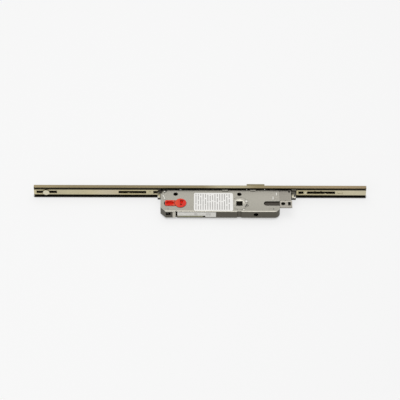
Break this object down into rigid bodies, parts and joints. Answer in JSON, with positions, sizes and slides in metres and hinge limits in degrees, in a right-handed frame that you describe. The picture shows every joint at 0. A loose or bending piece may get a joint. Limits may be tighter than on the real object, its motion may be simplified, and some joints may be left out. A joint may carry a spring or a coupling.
{
  "type": "multipoint door lock",
  "caption": "Central module of a multipoint door lock: U-rail, flat lock case with follower, sprung latch, keyhole plug and slotted drive rods that move apart when the spindle turns.",
  "frame": {"origin": "on the spindle axis, at the middle of the case thickness", "axes": "+X along the rail to the door's top, +Y out of the rail's front face, +Z along the spindle out of the case cover"},
  "size_m": [0.521, 0.0608, 0.022],
  "materials": {
    "rail_zinc": "yellow-passivated zinc, satin",
    "rod_zinc": "yellow-passivated zinc, satin",
    "case_light": "zinc-plated sheet steel, satin",
    "case_dark": "zinc-plated sheet steel, darker sides",
    "steel": "plated steel",
    "latch": "yellow-passivated zinc casting",
    "label": "matt film, blank",
    "plug_red": "moulded plastic"
  },
  "bodies": {
    "case": {"faceplate_rail": "rail_zinc", "case_floor_plate": "case_dark", "case_walls": "case_dark", "case_cover": "case_light", "end_bracket": "case_light", "bracket_rivets": "steel", "cover_rivets": "steel", "fixing_blocks": "steel", "rail_screws": "rail_zinc", "follower_bushes": "steel", "slide_guides": "steel", "rod_guide_stud": "rod_zinc", "latch_spring_seat": "steel", "face_label": "label", "edge_label": "label"},
    "follower": {"follower": "steel"},
    "upper_drive": {"upper_slide": "steel", "accessory_bar": "case_dark", "upper_connector": "steel", "upper_rivets": "steel", "upper_rod": "rod_zinc"},
    "lower_drive": {"lower_slide": "steel", "lower_connector": "steel", "lower_rivets": "steel", "lower_rod": "rod_zinc"},
    "latch": {"latch_bolt": "latch", "latch_stem": "steel", "latch_spring": "steel", "latch_clip": "steel"},
    "lock_slide": {"lock_slide": "steel"},
    "plug": {"keyhole_plug": "plug_red"}
  },
  "joints": [
    {"name": "follower_turn", "type": "hinge", "parent": "case", "child": "follower", "pos_m": [0, 0, 0], "axis": [0, 0, -1], "range_deg": [0, 60]},
    {"name": "upper_rod_slide", "type": "slide", "parent": "case", "child": "upper_drive", "axis": [1, 0, 0], "range_m": [0, 0.01191]},
    {"name": "lower_rod_slide", "type": "slide", "parent": "case", "child": "lower_drive", "axis": [-1, 0, 0], "range_m": [0, 0.01191]},
    {"name": "latch_slide", "type": "slide", "parent": "case", "child": "latch", "axis": [0, -1, 0], "range_m": [0, 0.008], "stiffness_N_per_m": 400, "springref_m": -0.006, "deforming": ["latch_spring"]},
    {"name": "lock_slide_throw", "type": "slide", "parent": "case", "child": "lock_slide", "axis": [0, 1, 0], "range_m": [0, 0.004]},
    {"name": "plug_pull", "type": "slide", "parent": "case", "child": "plug", "axis": [0, 0, 1], "range_m": [0, 0.02]}
  ],
  "couplings": [
    {"joint": "follower_turn", "follows": "upper_rod_slide", "rad_per_m": 87.912},
    {"joint": "lower_rod_slide", "follows": "upper_rod_slide", "ratio": 1}
  ]
}
